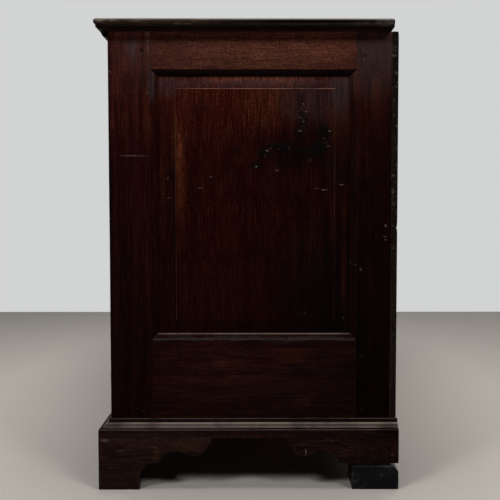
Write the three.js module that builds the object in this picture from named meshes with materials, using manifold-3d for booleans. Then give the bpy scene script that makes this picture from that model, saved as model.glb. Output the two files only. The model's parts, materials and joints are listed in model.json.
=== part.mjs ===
// Oak mule chest: a lift-top coffer over two drawers, framed and panelled, on bracket feet.
// Millimetres, +Z up, front towards -Y, ends towards -X and +X. The origin is on the floor,
// under the middle of the whole chest.
import * as THREE from "three";
import { mergeVertices } from "three/addons/utils/BufferGeometryUtils.js";
import Module from "manifold-3d";

const wasm = await Module();
wasm.setup();

// Carcase
const case_length = 1244;
const case_depth = 526;
const carcase_height = 753.7;
const frame_thickness = 26;
const post_front_width = 79.5;
const post_back_width = 65.5;
const post_face_width = 58;
const post_edge_radius = 3.5;
const post_bead_width = 7;
const post_quirk_width = 1.6;
const post_quirk_depth = 1.1;
const top_rail_height = 69;
const end_bottom_rail_height = 182.7;
const muntin_width = 66;
const middle_rail_height = 52;
const front_bottom_rail_height = 52.7;
const drawer_opening_height = 112;
const divider_width = 60;

// Mortise and tenon joints
const tenon_thickness = 9;
const tenon_length = 34;
const tenon_shoulder = 9;
const tenon_setback = 10;
const muntin_tenon_share = 2 / 3;
const joint_clearance = 0.2;

// Moulded edge of the frames and the fielded panels
const moulding_width = 10.7;
const moulding_depth = 9.2;
const moulding_quirk = 1.4;
const moulding_nose = 1.6;
const groove_width = 7;
const tongue_thickness = 6.6;
const tongue_room = 0.8;
const field_depth = 3.6;
const field_step = 1.4;
const field_margin_front = 33.8;
const field_margin_back = 29;
const field_margin_height = 23.8;
const front_field_margin = 30;

// Coffer floor and back
const floor_thickness = 10;
const floor_rise = 2;
const floor_groove = 6;
const back_rail_height = 55;
const back_rail_drop = 5.5;
const back_board_thickness = 11.7;
const back_board_rise = 1;
const back_board_joint_share = 0.52;
const back_board_gap = 0.6;

// Plinth and bracket feet
const foot_height = 97.3;
const base_projection = 20.5;
const base_rear_projection = 14.5;
const base_moulding_height = 33.2;
const bracket_length = 212.3;
const bracket_thickness = 18;
const leg_width = 76;
const foot_block_length = 44;
const repair_height = 49.3;
const repair_length = 87;
const repair_pad = 5.7;
const repair_setback = 5;
const repair_chamfer = 9.5;
const repair_block_depth = 78;

// Cornice and lid
const cornice_height = 11;
const cornice_projection = 11;
const lid_thickness = 19;
const lid_front_overhang = 20.5;
const lid_end_overhang = 28;
const lid_edge_undercut = 9.8;
const lid_nose_height = 13;
const lid_step_share = 0.5;
const lid_step_height = 1;
const lid_rear_radius = 4.5;

// Strap hinges
const hinge_inset = 212;
const hinge_setback = 5.3;
const hinge_drop = 2.6;
const barrel_radius = 4.5;
const pin_radius = 1.9;
const pin_clearance = 0.3;
const leaf_thickness = 2.4;
const leaf_width = 72;
const leaf_length = 24;
const knuckle_length = 34;
const knuckle_gap = 0.6;
const strap_length = 70;
const strap_tip_share = 0.55;
const strap_parallel_share = 1 / 3;

// Drawers and runners
const drawer_face_gap = 1.5;
const drawer_running_gap = 0.5;
const drawer_back_room = 46;
const drawer_front_thickness = 20;
const drawer_front_edge = 3;
const drawer_side_thickness = 12;
const drawer_side_height = 98;
const drawer_bottom_thickness = 7;
const drawer_bottom_rise = 9;
const drawer_groove = 5;
const dovetail_length = 14;
const dovetail_flare = 3;
const dovetail_count = 3;
const runner_thickness = 20;
const runner_reach = 24;
const guide_height = 22;
const guide_gap = 1;

// Drop handles
const handle_spacing_share = 0.29;
const handle_plate_width = 98;
const handle_plate_height = 56;
const handle_plate_thickness = 1.6;
const handle_post_spacing = 76;
const handle_post_reach = 11;
const handle_post_rise = 8;
const handle_head_radius = 6.2;
const handle_foot_height = 1;
const handle_waist_share = 0.5;
const bail_end_share = 0.7;
const bail_radius = 2.2;
const bail_drop = 36;
const bail_clearance = 0.4;

// Room that cuts run past the faces they open, and depth that joined shapes share
const overrun = 5;
const root = 2;

// Places that several pieces share
const half_case = case_length / 2;
const case_top = foot_height + carcase_height;
const front_reach = Math.max(base_projection, lid_front_overhang);
const y_front = -(case_depth + front_reach + base_rear_projection) / 2 + front_reach;
const y_back = y_front + case_depth;
const y_post_front = y_front + post_front_width;
const y_post_back = y_back - post_back_width;
const x_post = half_case - post_face_width;
const x_frame = half_case - frame_thickness;
const y_frame = y_front + frame_thickness;
const top_rail_bottom = case_top - top_rail_height;
const end_bottom_rail_top = foot_height + end_bottom_rail_height;
const drawer_opening_bottom = foot_height + front_bottom_rail_height;
const drawer_opening_top = drawer_opening_bottom + drawer_opening_height;
const middle_rail_top = drawer_opening_top + middle_rail_height;
const floor_bottom = drawer_opening_top + floor_rise;
const half_divider = divider_width / 2;
const back_rail_top = case_top - back_rail_drop;
const y_back_rail = y_back - frame_thickness;
const x_base = half_case + base_projection;
const y_base = y_front - base_projection;
const y_base_rear = y_back + base_rear_projection;
const hinge_y = y_back + hinge_setback;
const hinge_z = case_top - hinge_drop;
const hinge_x = half_case - hinge_inset;

// Maps from an outline's two values and the run to x, y and z
const along_x = (p, q, run) => [run, p, q];
const along_y = (p, q, run) => [q, run, p];
const along_z = (p, q, run) => [p, q, run];

// Maps from a frame's own width, height and outward values to x, y and z
const right_end = (across, up, out) => [out, across, up];
const front_face = (across, up, out) => [across, -out, up];

// A closed geometry as a solid for joins and cuts. A map that mirrors turns its faces in,
// so they are turned back.
function solidOf(geometry) {
  const plain = new THREE.BufferGeometry();
  plain.setAttribute("position", geometry.getAttribute("position"));
  if (geometry.index) plain.setIndex(geometry.index);
  const merged = mergeVertices(plain);
  const vertProperties = merged.getAttribute("position").array;
  const triVerts = new Uint32Array(merged.index.array);
  const solid = new wasm.Manifold(new wasm.Mesh({ numProp: 3, vertProperties, triVerts }));
  if (solid.volume() > 0) return solid;
  return new wasm.Manifold(
    new wasm.Mesh({ numProp: 3, vertProperties, triVerts: triVerts.reverse() }),
  );
}

// Sends every vertex of a geometry through a map
function remapped(geometry, map) {
  const position = geometry.getAttribute("position");
  for (let i = 0; i < position.count; i++) {
    position.setXYZ(i, ...map(position.getX(i), position.getY(i), position.getZ(i)));
  }
  return geometry;
}

// A block between two corners
function block(low, high) {
  const pick = (value, axis) => (value > 0 ? high[axis] : low[axis]);
  const placed = (x, y, z) => [pick(x, 0), pick(y, 1), pick(z, 2)];
  return solidOf(remapped(new THREE.BoxGeometry(1, 1, 1), placed));
}

// A block on a frame's own axes
function frameBlock(map, across, up, out) {
  const corners = [map(across[0], up[0], out[0]), map(across[1], up[1], out[1])];
  const low = [0, 1, 2].map((axis) => Math.min(corners[0][axis], corners[1][axis]));
  const high = [0, 1, 2].map((axis) => Math.max(corners[0][axis], corners[1][axis]));
  return block(low, high);
}

function shapeOf(outline) {
  return new THREE.Shape(outline.map(([p, q]) => new THREE.Vector2(p, q)));
}

// An outline run along a line. Either end may be a function of the outline's own values.
function run(outline, start, end, map, segments = 5) {
  const shape = outline instanceof THREE.Shape ? outline : shapeOf(outline);
  const settings = { depth: 1, bevelEnabled: false, curveSegments: segments };
  const geometry = new THREE.ExtrudeGeometry(shape, settings);
  const at = (limit, p, q) => (typeof limit === "function" ? limit(p, q) : limit);
  return solidOf(
    remapped(geometry, (p, q, unit) => map(p, q, unit > 0 ? at(end, p, q) : at(start, p, q))),
  );
}

function joined(solids) {
  return solids.reduce((whole, solid) => whole.add(solid));
}

// Points of a quarter curve. It leaves along the second value where early is true, else along the first.
function quarter(from, to, early, steps = 5) {
  const points = [];
  for (let i = 0; i <= steps; i++) {
    const angle = ((i / steps) * Math.PI) / 2;
    const ahead = early ? 1 - Math.cos(angle) : Math.sin(angle);
    const beside = early ? Math.sin(angle) : 1 - Math.cos(angle);
    points.push([from[0] + (to[0] - from[0]) * ahead, from[1] + (to[1] - from[1]) * beside]);
  }
  return points;
}

const oak = new THREE.MeshStandardMaterial({ color: 0x2e1410, roughness: 0.42, metalness: 0 });
const oak_panel = new THREE.MeshStandardMaterial({ color: 0x32120c, roughness: 0.38, metalness: 0 });
const oak_plain = new THREE.MeshStandardMaterial({ color: 0x5b4028, roughness: 0.8, metalness: 0 });
const iron = new THREE.MeshStandardMaterial({ color: 0x1c1a19, roughness: 0.6, metalness: 0.8 });
const brass = new THREE.MeshStandardMaterial({ color: 0x9a7434, roughness: 0.35, metalness: 1 });

const chest = new THREE.Group();
chest.name = "mule_chest";

function geometryOf(solid) {
  const mesh = solid.getMesh();
  const places = new Float32Array(mesh.vertProperties);
  const geometry = new THREE.BufferGeometry();
  geometry.setAttribute("position", new THREE.BufferAttribute(places, 3));
  geometry.setIndex(new THREE.BufferAttribute(new Uint32Array(mesh.triVerts), 1));
  const flat = geometry.toNonIndexed();
  flat.computeVertexNormals();
  return flat;
}

function add(name, solid, material) {
  const mesh = new THREE.Mesh(geometryOf(solid), material);
  mesh.name = name;
  chest.add(mesh);
  return mesh;
}

// A piece of the right-hand side and its mirror image on the left
function addPair(name, solid, material) {
  add(`${name}_right`, solid, material);
  const left = add(`${name}_left`, solid, material);
  left.scale.x = -1;
}

// Moulded edge of a frame member: its front moulding and the lip behind the panel's groove.
// The outline is given as the distance into the opening and the depth below the face.
function mouldingOutlines() {
  const curve = quarter([0, moulding_quirk], [moulding_width, moulding_depth - moulding_nose], false);
  const front = [
    [-root, moulding_quirk],
    ...curve,
    [moulding_width, moulding_depth],
    [-root, moulding_depth],
  ];
  const lip_top = moulding_depth + groove_width;
  const lip = [
    [-root, lip_top],
    [moulding_width, lip_top],
    [moulding_width, frame_thickness],
    [-root, frame_thickness],
  ];
  return [front, lip];
}

// Edge mouldings along one side of an opening, cut to a mitre at both ends.
// side is the way into the opening, edge its place, span the opening's length,
// and face the frame's front.
function edgeMoulding(map, upright, side, edge, span, face) {
  const strips = mouldingOutlines().map((outline) => {
    const placed = outline.map(([into, depth]) => {
      const across = edge + side * into;
      const out = face - depth;
      return upright ? [out, across] : [across, out];
    });
    const mitre = (p, q) => Math.max(((upright ? q : p) - edge) * side, 0) + joint_clearance;
    const start = (p, q) => span[0] + mitre(p, q);
    const end = (p, q) => span[1] - mitre(p, q);
    const place = upright ? (p, q, t) => map(q, t, p) : (p, q, t) => map(t, p, q);
    return run(placed, start, end, place);
  });
  return joined(strips);
}

// A tenon as wide as its rail less the shoulders, and the mortise that takes it
function tenonBox(map, upright, range, from, to, face, room) {
  const wide = [range[0] + tenon_shoulder - room, range[1] - tenon_shoulder + room];
  const out = [face - tenon_setback - tenon_thickness - room, face - tenon_setback + room];
  const way = Math.sign(to - from);
  const long = [from - way * root, to + way * room].sort((a, b) => a - b);
  return upright ? frameBlock(map, wide, long, out) : frameBlock(map, long, wide, out);
}

// Raised and fielded panel: two outlines run across each other and kept where both agree
function fieldedPanel(map, across, up, face, margins) {
  const tongue_front = face - moulding_depth - (groove_width - tongue_thickness) / 2;
  const panel_back = tongue_front - tongue_thickness;
  const field = face - field_depth;
  const outline = (span, margin_low, margin_high) => {
    const low = span[0] + moulding_width;
    const high = span[1] - moulding_width;
    return [
      [span[0] + tongue_room, panel_back],
      [span[1] - tongue_room, panel_back],
      [span[1] - tongue_room, tongue_front],
      [high, tongue_front],
      [high - margin_high, field - field_step],
      [high - margin_high, field],
      [low + margin_low, field],
      [low + margin_low, field - field_step],
      [low, tongue_front],
      [span[0] + tongue_room, tongue_front],
    ];
  };
  const sideways = outline(across, margins.low, margins.high).map(([a, out]) => [out, a]);
  const upward = outline(up, margins.height, margins.height);
  const by_width = run(sideways, up[0], up[1], (p, q, t) => map(q, t, p));
  const by_height = run(upward, across[0], across[1], (p, q, t) => map(t, p, q));
  return by_width.intersect(by_height);
}

const end_opening = { across: [y_post_front, y_post_back], up: [end_bottom_rail_top, top_rail_bottom] };
const front_openings = [-1, 0, 1].map((place) => {
  const width = (2 * x_post - 2 * muntin_width) / 3;
  const middle = place * (width + muntin_width);
  return { across: [middle - width / 2, middle + width / 2], up: [middle_rail_top, top_rail_bottom] };
});
const end_face = half_case;
const front_out = -y_front;

// Rails that join a front or end frame, as the height range of each
const end_rails = { top: [top_rail_bottom, case_top], bottom: [foot_height, end_bottom_rail_top] };
const front_rails = {
  top: [top_rail_bottom, case_top],
  middle: [drawer_opening_top, middle_rail_top],
  bottom: [foot_height, drawer_opening_bottom],
};

function buildPosts() {
  // Front post: a bead is worked on the corner towards the room, with a quirk on either face
  const half_quirk = post_quirk_width / 2;
  const corner = quarter(
    [half_case - post_edge_radius, y_front],
    [half_case, y_front + post_edge_radius],
    false,
  );
  const section = [
    [x_post, y_front],
    [half_case - post_bead_width - half_quirk, y_front],
    [half_case - post_bead_width, y_front + post_quirk_depth],
    [half_case - post_bead_width + half_quirk, y_front],
    ...corner,
    [half_case, y_front + post_bead_width - half_quirk],
    [half_case - post_quirk_depth, y_front + post_bead_width],
    [half_case, y_front + post_bead_width + half_quirk],
    [half_case, y_post_front],
    [x_post, y_post_front],
  ];
  let front_post = run(section, foot_height, case_top, along_z);
  front_post = front_post.add(
    edgeMoulding(right_end, true, 1, y_post_front, end_opening.up, end_face),
  );
  front_post = front_post.add(
    edgeMoulding(front_face, true, -1, x_post, front_openings[2].up, front_out),
  );
  let back_post = block([x_post, y_post_back, foot_height], [half_case, y_back, case_top]);
  back_post = back_post.add(
    edgeMoulding(right_end, true, -1, y_post_back, end_opening.up, end_face),
  );
  for (const range of Object.values(end_rails)) {
    front_post = front_post.subtract(
      tenonBox(
        right_end, false, range,
        y_post_front, y_post_front - tenon_length, end_face, joint_clearance,
      ),
    );
    back_post = back_post.subtract(
      tenonBox(
        right_end, false, range,
        y_post_back, y_post_back + tenon_length, end_face, joint_clearance,
      ),
    );
  }
  for (const range of Object.values(front_rails)) {
    front_post = front_post.subtract(
      tenonBox(
        front_face, false, range,
        x_post, x_post + frontTenon(), front_out, joint_clearance,
      ),
    );
  }
  back_post = back_post.subtract(
    tenonBox(
      front_face, false, backRailRange(),
      x_post, x_post + frontTenon(), -y_back_rail, joint_clearance,
    ),
  );
  addPair("post_front", front_post, oak);
  addPair("post_back", back_post, oak);
}

// The front rails' tenons stop short of the end rails' tenons inside the posts
function frontTenon() {
  return Math.min(tenon_length, post_face_width - tenon_setback - tenon_thickness - 2 * root);
}

function backRailRange() {
  return [back_rail_top - back_rail_height, back_rail_top];
}

function buildEndFrames() {
  for (const [name, range] of Object.entries(end_rails)) {
    const opening_edge = name === "top" ? range[0] : range[1];
    const side = name === "top" ? -1 : 1;
    let rail = frameBlock(right_end, end_opening.across, range, [x_frame, end_face]);
    rail = rail.add(
      edgeMoulding(right_end, false, side, opening_edge, end_opening.across, end_face),
    );
    rail = rail.add(
      tenonBox(right_end, false, range, y_post_front, y_post_front - tenon_length, end_face, 0),
    );
    rail = rail.add(
      tenonBox(right_end, false, range, y_post_back, y_post_back + tenon_length, end_face, 0),
    );
    if (name === "bottom") rail = rail.subtract(floorGroove());
    addPair(`end_${name}_rail`, rail, oak);
  }
  const margins = {
    low: field_margin_front,
    high: field_margin_back,
    height: field_margin_height,
  };
  const panel = fieldedPanel(right_end, end_opening.across, end_opening.up, end_face, margins);
  addPair("end_panel", panel, oak_panel);
}

// Room that the coffer floor's edge takes in the rails
function floorGroove() {
  return block(
    [-x_frame - floor_groove, y_frame - floor_groove, floor_bottom - joint_clearance],
    [x_frame + floor_groove, y_back, floor_bottom + floor_thickness + joint_clearance],
  );
}

function buildFrontFrame() {
  const across = [-x_post, x_post];
  const frame_out = [-y_frame, front_out];
  const muntin_place = (front_openings[2].across[0] + front_openings[1].across[1]) / 2;
  const muntin_middles = [-muntin_place, muntin_place];
  const muntinRange = (middle) => [middle - muntin_width / 2, middle + muntin_width / 2];
  const muntin_tenon = Math.min(tenon_length, middle_rail_height * muntin_tenon_share);
  const divider_tenon = Math.min(muntin_tenon, middle_rail_height - muntin_tenon - 2 * root);
  for (const [name, range] of Object.entries(front_rails)) {
    let rail = frameBlock(front_face, across, range, frame_out);
    for (const side of [-1, 1]) {
      rail = rail.add(
        tenonBox(
          front_face, false, range,
          side * x_post, side * (x_post + frontTenon()), front_out, 0,
        ),
      );
    }
    if (name !== "bottom") {
      const edge = name === "top" ? range[0] : range[1];
      const side = name === "top" ? -1 : 1;
      for (const opening of front_openings) {
        rail = rail.add(edgeMoulding(front_face, false, side, edge, opening.across, front_out));
      }
      for (const middle of muntin_middles) {
        const from = edge;
        const to = edge - side * muntin_tenon;
        rail = rail.subtract(
          tenonBox(front_face, true, muntinRange(middle), from, to, front_out, joint_clearance),
        );
      }
    }
    if (name === "middle") {
      rail = rail.subtract(floorGroove());
      rail = rail.subtract(
        tenonBox(
          front_face, true, [-half_divider, half_divider],
          drawer_opening_top, drawer_opening_top + divider_tenon, front_out, joint_clearance,
        ),
      );
    }
    if (name === "bottom") {
      rail = rail.subtract(
        tenonBox(
          front_face, true, [-half_divider, half_divider],
          drawer_opening_bottom, drawer_opening_bottom - divider_tenon, front_out, joint_clearance,
        ),
      );
    }
    add(`front_${name}_rail`, rail, oak);
  }
  ["left", "right"].forEach((label, index) => {
    const range = muntinRange(muntin_middles[index]);
    let muntin = frameBlock(front_face, range, front_openings[0].up, frame_out);
    for (const [side, edge] of [[-1, range[0]], [1, range[1]]]) {
      muntin = muntin.add(
        edgeMoulding(front_face, true, side, edge, front_openings[0].up, front_out),
      );
    }
    muntin = muntin.add(
      tenonBox(front_face, true, range, top_rail_bottom, top_rail_bottom + muntin_tenon, front_out, 0),
    );
    muntin = muntin.add(
      tenonBox(front_face, true, range, middle_rail_top, middle_rail_top - muntin_tenon, front_out, 0),
    );
    add(`front_muntin_${label}`, muntin, oak);
  });
  const margins = {
    low: front_field_margin,
    high: front_field_margin,
    height: field_margin_height,
  };
  ["left", "middle", "right"].forEach((label, index) => {
    const opening = front_openings[index];
    const panel = fieldedPanel(front_face, opening.across, opening.up, front_out, margins);
    add(`front_panel_${label}`, panel, oak_panel);
  });
  const divider_range = [-half_divider, half_divider];
  const divider_height = [drawer_opening_bottom, drawer_opening_top];
  let divider = frameBlock(front_face, divider_range, divider_height, frame_out);
  divider = divider.add(
    tenonBox(
      front_face, true, divider_range,
      drawer_opening_top, drawer_opening_top + divider_tenon, front_out, 0,
    ),
  );
  divider = divider.add(
    tenonBox(
      front_face, true, divider_range,
      drawer_opening_bottom, drawer_opening_bottom - divider_tenon, front_out, 0,
    ),
  );
  add("drawer_divider", divider, oak);
}

function buildBackAndFloor() {
  const range = backRailRange();
  let rail = block([-x_post, y_back_rail, range[0]], [x_post, y_back, range[1]]);
  for (const side of [-1, 1]) {
    rail = rail.add(
      tenonBox(front_face, false, range, side * x_post, side * (x_post + frontTenon()), -y_back_rail, 0),
    );
  }
  add("back_top_rail", rail, oak_plain);

  const board_top = case_top + back_board_rise;
  const joint_z = foot_height + (board_top - foot_height) * back_board_joint_share;
  const y_board = y_back + back_board_thickness;
  let upper = block([-half_case, y_back, joint_z + back_board_gap], [half_case, y_board, board_top]);
  for (const side of [-1, 1]) {
    const middle = side * hinge_x;
    const half = leaf_width / 2 + knuckle_gap;
    upper = upper.subtract(
      block(
        [middle - half, y_back - overrun, hinge_z - barrel_radius - knuckle_gap],
        [middle + half, y_board + overrun, board_top + overrun],
      ),
    );
  }
  add("back_board_upper", upper, oak_plain);
  const lower = block([-half_case, y_back, foot_height], [half_case, y_board, joint_z]);
  add("back_board_lower", lower, oak_plain);

  // Coffer floor: its front and ends lie in the rails' grooves, and its corners clear the posts
  const tongue = floor_groove - joint_clearance;
  let floor = block(
    [-x_frame - tongue, y_frame - tongue, floor_bottom],
    [x_frame + tongue, y_back - joint_clearance, floor_bottom + floor_thickness],
  );
  for (const side of [-1, 1]) {
    const corners = [side * (x_post - joint_clearance), side * (half_case + overrun)];
    corners.sort((a, b) => a - b);
    const spans = [
      [y_front - overrun, y_post_front + joint_clearance],
      [y_post_back - joint_clearance, y_back + overrun],
    ];
    for (const span of spans) {
      floor = floor.subtract(
        block(
          [corners[0], span[0], floor_bottom - overrun],
          [corners[1], span[1], floor_bottom + floor_thickness + overrun],
        ),
      );
    }
  }
  add("coffer_floor", floor, oak_plain);
}

// Drawer runners, each with the guide that keeps its drawer straight
function buildRunners() {
  const top = drawer_opening_bottom;
  const low = top - runner_thickness;
  const side_runner = joined([
    block([x_post - runner_reach, y_frame, low], [x_post, y_back, top]),
    block([x_post - root, y_post_front, low], [x_frame, y_post_back, top]),
    block([x_post + guide_gap, y_post_front, top - root], [x_frame, y_post_back, top + guide_height]),
  ]);
  addPair("drawer_runner", side_runner, oak_plain);
  const half_guide = half_divider - guide_gap;
  const half_middle = half_divider + runner_reach;
  const middle_runner = joined([
    block([-half_middle, y_frame, low], [half_middle, y_back, top]),
    block([-half_guide, y_frame, top - root], [half_guide, y_back, top + guide_height]),
  ]);
  add("drawer_runner_middle", middle_runner, oak_plain);
}

// Section of the plinth moulding, as shares of its projection and of its height
const base_section_shares = [
  [0, 0], [1, 0], [1, 0.45], [0.97, 0.49], [0.88, 0.51], [0.64, 0.53], [0.61, 0.6], [0.56, 0.63],
  [0.42, 0.715], [0.28, 0.79], [0.22, 0.83], [0.18, 0.88], [0.15, 0.94], [0.13, 0.96], [0.13, 1],
  [0, 1],
];

function buildBase() {
  const section = base_section_shares.map(([out_share, up_share]) => [
    out_share * base_projection,
    foot_height + up_share * base_moulding_height,
  ]);
  const front = run(
    section.map(([out, z]) => [y_front - out, z]),
    (y) => -(half_case + y_front - y - joint_clearance),
    (y) => half_case + y_front - y - joint_clearance,
    along_x,
  );
  add("base_moulding_front", front, oak);
  const side = run(
    section.map(([out, z]) => [z, half_case + out]),
    (z, x) => y_front - (x - half_case) + joint_clearance,
    y_base_rear,
    along_y,
  );
  addPair("base_moulding", side, oak);
}

// A bracket foot's outline past the leg, as shares of the bracket's length and of the foot's height:
// the curve out of the leg, a step, the rise to an arch, the arch, the drop and the tip
const leg_top_share = 0.28;
const ankle_shares = [[0.36, 0.36], [0.43, 0.507]];
const step_shares = [0.515, 0.515];
const rise_shares = [[0.545, 0.55], [0.565, 0.72], [0.635, 0.742]];
const arch_shares = [0.69, 0.742];
const drop_shares = [[0.735, 0.742], [0.77, 0.645], [0.845, 0.645]];
const tip_shares = [[0.925, 0.66], [0.965, 0.83], [1, 1]];

function bracketShape() {
  const point = ([along, up]) => [along * bracket_length, up * foot_height];
  const shape = new THREE.Shape();
  shape.moveTo(0, 0);
  shape.lineTo(leg_width, 0);
  shape.lineTo(leg_width, leg_top_share * foot_height);
  shape.quadraticCurveTo(...ankle_shares.flatMap(point));
  shape.lineTo(...point(step_shares));
  shape.bezierCurveTo(...rise_shares.flatMap(point));
  shape.lineTo(...point(arch_shares));
  shape.bezierCurveTo(...drop_shares.flatMap(point));
  shape.bezierCurveTo(...tip_shares.flatMap(point));
  shape.lineTo(0, foot_height);
  return shape;
}

// Wedge that cuts the mitre where two brackets meet at a front corner
function mitreWedge(side_piece) {
  const reach = bracket_thickness + 2 * root;
  const gap = joint_clearance;
  const points = side_piece
    ? [
        [x_base + root, y_base - root + gap],
        [x_base - reach, y_base + reach + gap],
        [x_base - reach, y_base - root],
        [x_base + root, y_base - 2 * root],
      ]
    : [
        [x_base + 2 * root, y_base - root],
        [x_base + 2 * root, y_base + reach + root + gap],
        [x_base - reach - gap, y_base + reach],
        [x_base + root - gap, y_base - root],
      ];
  return run(points, -root, foot_height + root, along_z);
}

function buildFeet() {
  const shape = bracketShape();
  const x_inner = x_base - bracket_thickness;
  const y_inner = y_base + bracket_thickness;
  const y_block = y_inner + foot_block_length;
  const x_block = x_inner - foot_block_length;

  // Front faces, each with the glue block that carries the front post
  const front = run(shape, 0, bracket_thickness, (along, up, inward) => [
    x_base - along, y_base + inward, up,
  ]);
  let front_foot = front.subtract(mitreWedge(false));
  front_foot = front_foot.add(
    block([x_block, y_inner - root, 0], [x_inner - joint_clearance, y_block, foot_height]),
  );
  addPair("foot_bracket_front", front_foot, oak);

  // Side faces at the front corners
  const side = run(shape, 0, bracket_thickness, (along, up, inward) => [
    x_base - inward, y_base + along, up,
  ]);
  addPair("foot_bracket_side", side.subtract(mitreWedge(true)), oak);

  // Side faces at the back corners, each with the glue block that carries the back post
  const back = run(shape, 0, bracket_thickness, (along, up, inward) => [
    x_base - inward, y_base_rear - along, up,
  ]);
  const back_foot = joined([
    back,
    block(
      [x_block, y_base_rear - base_rear_projection - foot_block_length, 0],
      [x_inner + root, y_base_rear - base_rear_projection, foot_height],
    ),
  ]);
  const left = add("foot_bracket_back_left", back_foot, oak);
  left.scale.x = -1;

  // The right back foot has lost its lower part and stands on a plain block
  const lost = block(
    [x_block - overrun, y_back - bracket_length, -overrun],
    [x_base + overrun, y_base_rear + overrun, repair_height],
  );
  add("foot_bracket_back_right", back_foot.subtract(lost), oak);
  const y_repair = y_base_rear - repair_length;
  const shoulder = repair_height - repair_pad;
  const profile = [
    [y_repair, 0],
    [y_base_rear, 0],
    [y_base_rear, shoulder - repair_chamfer],
    [y_base_rear - repair_chamfer, shoulder],
    [y_repair, shoulder],
  ];
  const repair = joined([
    run(profile, x_base - repair_block_depth, x_base, along_x),
    block(
      [x_base - repair_block_depth + repair_setback, y_repair + repair_setback, shoulder - root],
      [x_base - repair_setback, y_base_rear - repair_chamfer - repair_setback, repair_height],
    ),
  ]);
  add("foot_repair_block", repair, oak);
}

// Moulded edge of the lid, from its underside to its top: a hollow, a small step and a round nose
function lidEdge(distance_in) {
  const low = case_top;
  const top = case_top + lid_thickness;
  const nose_bottom = top - lid_nose_height;
  const radius = lid_nose_height / 2;
  const step_in = radius * lid_step_share;
  const hollow = quarter([lid_edge_undercut, low], [step_in, nose_bottom - lid_step_height], false, 4);
  const nose = [];
  const steps = 6;
  for (let i = 0; i <= steps; i++) {
    const angle = -Math.PI / 2 + (Math.PI * i) / steps;
    nose.push([radius - radius * Math.cos(angle), nose_bottom + radius + radius * Math.sin(angle)]);
  }
  return [...hollow, [step_in, nose_bottom], ...nose].map(([into, z]) => [distance_in(into), z]);
}

function buildLidAndCornice() {
  const y_lid = y_front - lid_front_overhang;
  const x_lid = half_case + lid_end_overhang;
  const top = case_top + lid_thickness;
  const y_round = y_back - lid_rear_radius;
  const rear_top = quarter([y_back, top - lid_rear_radius], [y_round, top], true, 4);
  const rear_bottom = quarter([y_round, case_top], [y_back, case_top + lid_rear_radius], false, 4);
  const lengthwise = run(
    [...rear_top, ...lidEdge((into) => y_lid + into).reverse(), ...rear_bottom],
    -x_lid, x_lid, along_x,
  );
  const crosswise = run(
    [
      ...lidEdge((into) => x_lid - into),
      ...lidEdge((into) => -x_lid + into).reverse(),
    ].map(([x, z]) => [z, x]),
    y_lid - overrun, y_back + overrun, along_y,
  );
  add("lid", lengthwise.intersect(crosswise), oak);

  const cornice_low = case_top - cornice_height;
  const cornice_top = case_top - joint_clearance;
  const curve = quarter(
    [y_front - cornice_projection, cornice_top - root],
    [y_front - root, cornice_low], true, 5,
  );
  const profile = [
    [y_front, cornice_top],
    [y_front - cornice_projection, cornice_top],
    ...curve,
    [y_front, cornice_low],
  ];
  add("cornice_moulding", run(profile, -half_case, half_case, along_x), oak);
}

// A cylinder along X between two places
function rod(radius, x_from, x_to, y, z, sides = 16) {
  const circle = new THREE.Shape();
  circle.absarc(0, 0, radius, 0, 2 * Math.PI, false);
  return run(circle, x_from, x_to, (p, q, t) => [t, y + p, z + q], sides);
}

function buildHinges() {
  const half_knuckle = knuckle_length / 2;
  const half_leaf = leaf_width / 2;
  for (const [side, label] of [[1, "right"], [-1, "left"]]) {
    const middle = side * hinge_x;
    // Fixed leaf on the back rail, with its two knuckles and the pin
    let leaf = block(
      [middle - half_leaf, hinge_y - barrel_radius - knuckle_gap - leaf_length, back_rail_top],
      [middle + half_leaf, hinge_y - barrel_radius - knuckle_gap, back_rail_top + leaf_thickness],
    );
    for (const way of [-1, 1]) {
      const span = [middle + way * (half_knuckle + knuckle_gap), middle + way * half_leaf];
      span.sort((a, b) => a - b);
      leaf = leaf.add(rod(barrel_radius, span[0], span[1], hinge_y, hinge_z));
      leaf = leaf.add(
        block(
          [span[0], hinge_y - barrel_radius - knuckle_gap - root, back_rail_top],
          [span[1], hinge_y, back_rail_top + leaf_thickness],
        ),
      );
    }
    const half_pin = half_leaf - root;
    leaf = leaf.add(rod(pin_radius, middle - half_pin, middle + half_pin, hinge_y, hinge_z));
    add(`hinge_leaf_${label}`, leaf, iron);

    // Strap under the lid, tapered to its tip, with the middle knuckle
    const y_tip = y_back - strap_length;
    const half_tip = half_knuckle * strap_tip_share;
    const y_taper = y_back - strap_length * strap_parallel_share;
    const plan = [
      [middle - half_knuckle, hinge_y],
      [middle - half_knuckle, y_taper],
      [middle - half_tip, y_tip],
      [middle + half_tip, y_tip],
      [middle + half_knuckle, y_taper],
      [middle + half_knuckle, hinge_y],
    ];
    let strap = run(plan, case_top - leaf_thickness, case_top, along_z);
    strap = strap.add(
      rod(barrel_radius, middle - half_knuckle, middle + half_knuckle, hinge_y, hinge_z),
    );
    strap = strap.subtract(
      rod(pin_radius + pin_clearance, middle - half_leaf, middle + half_leaf, hinge_y, hinge_z),
    );
    add(`lid_strap_${label}`, strap, iron);
  }
}

// Tails on a drawer side, as one outline each in depth and height; room widens them into sockets
function dovetails(y_from, z_low, room, x_range) {
  const pitch = drawer_side_height / dovetail_count;
  const tails = [];
  for (let i = 0; i < dovetail_count; i++) {
    const middle = z_low + pitch * (i + 1 / 2);
    const half_root = pitch / 2 - 2 * dovetail_flare + room;
    const half_tip = half_root + dovetail_flare;
    const outline = [
      [y_from - dovetail_length - room, middle - half_tip],
      [y_from + root, middle - half_root],
      [y_from + root, middle + half_root],
      [y_from - dovetail_length - room, middle + half_tip],
    ];
    tails.push(run(outline, x_range[0], x_range[1], along_x));
  }
  return joined(tails);
}

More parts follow.
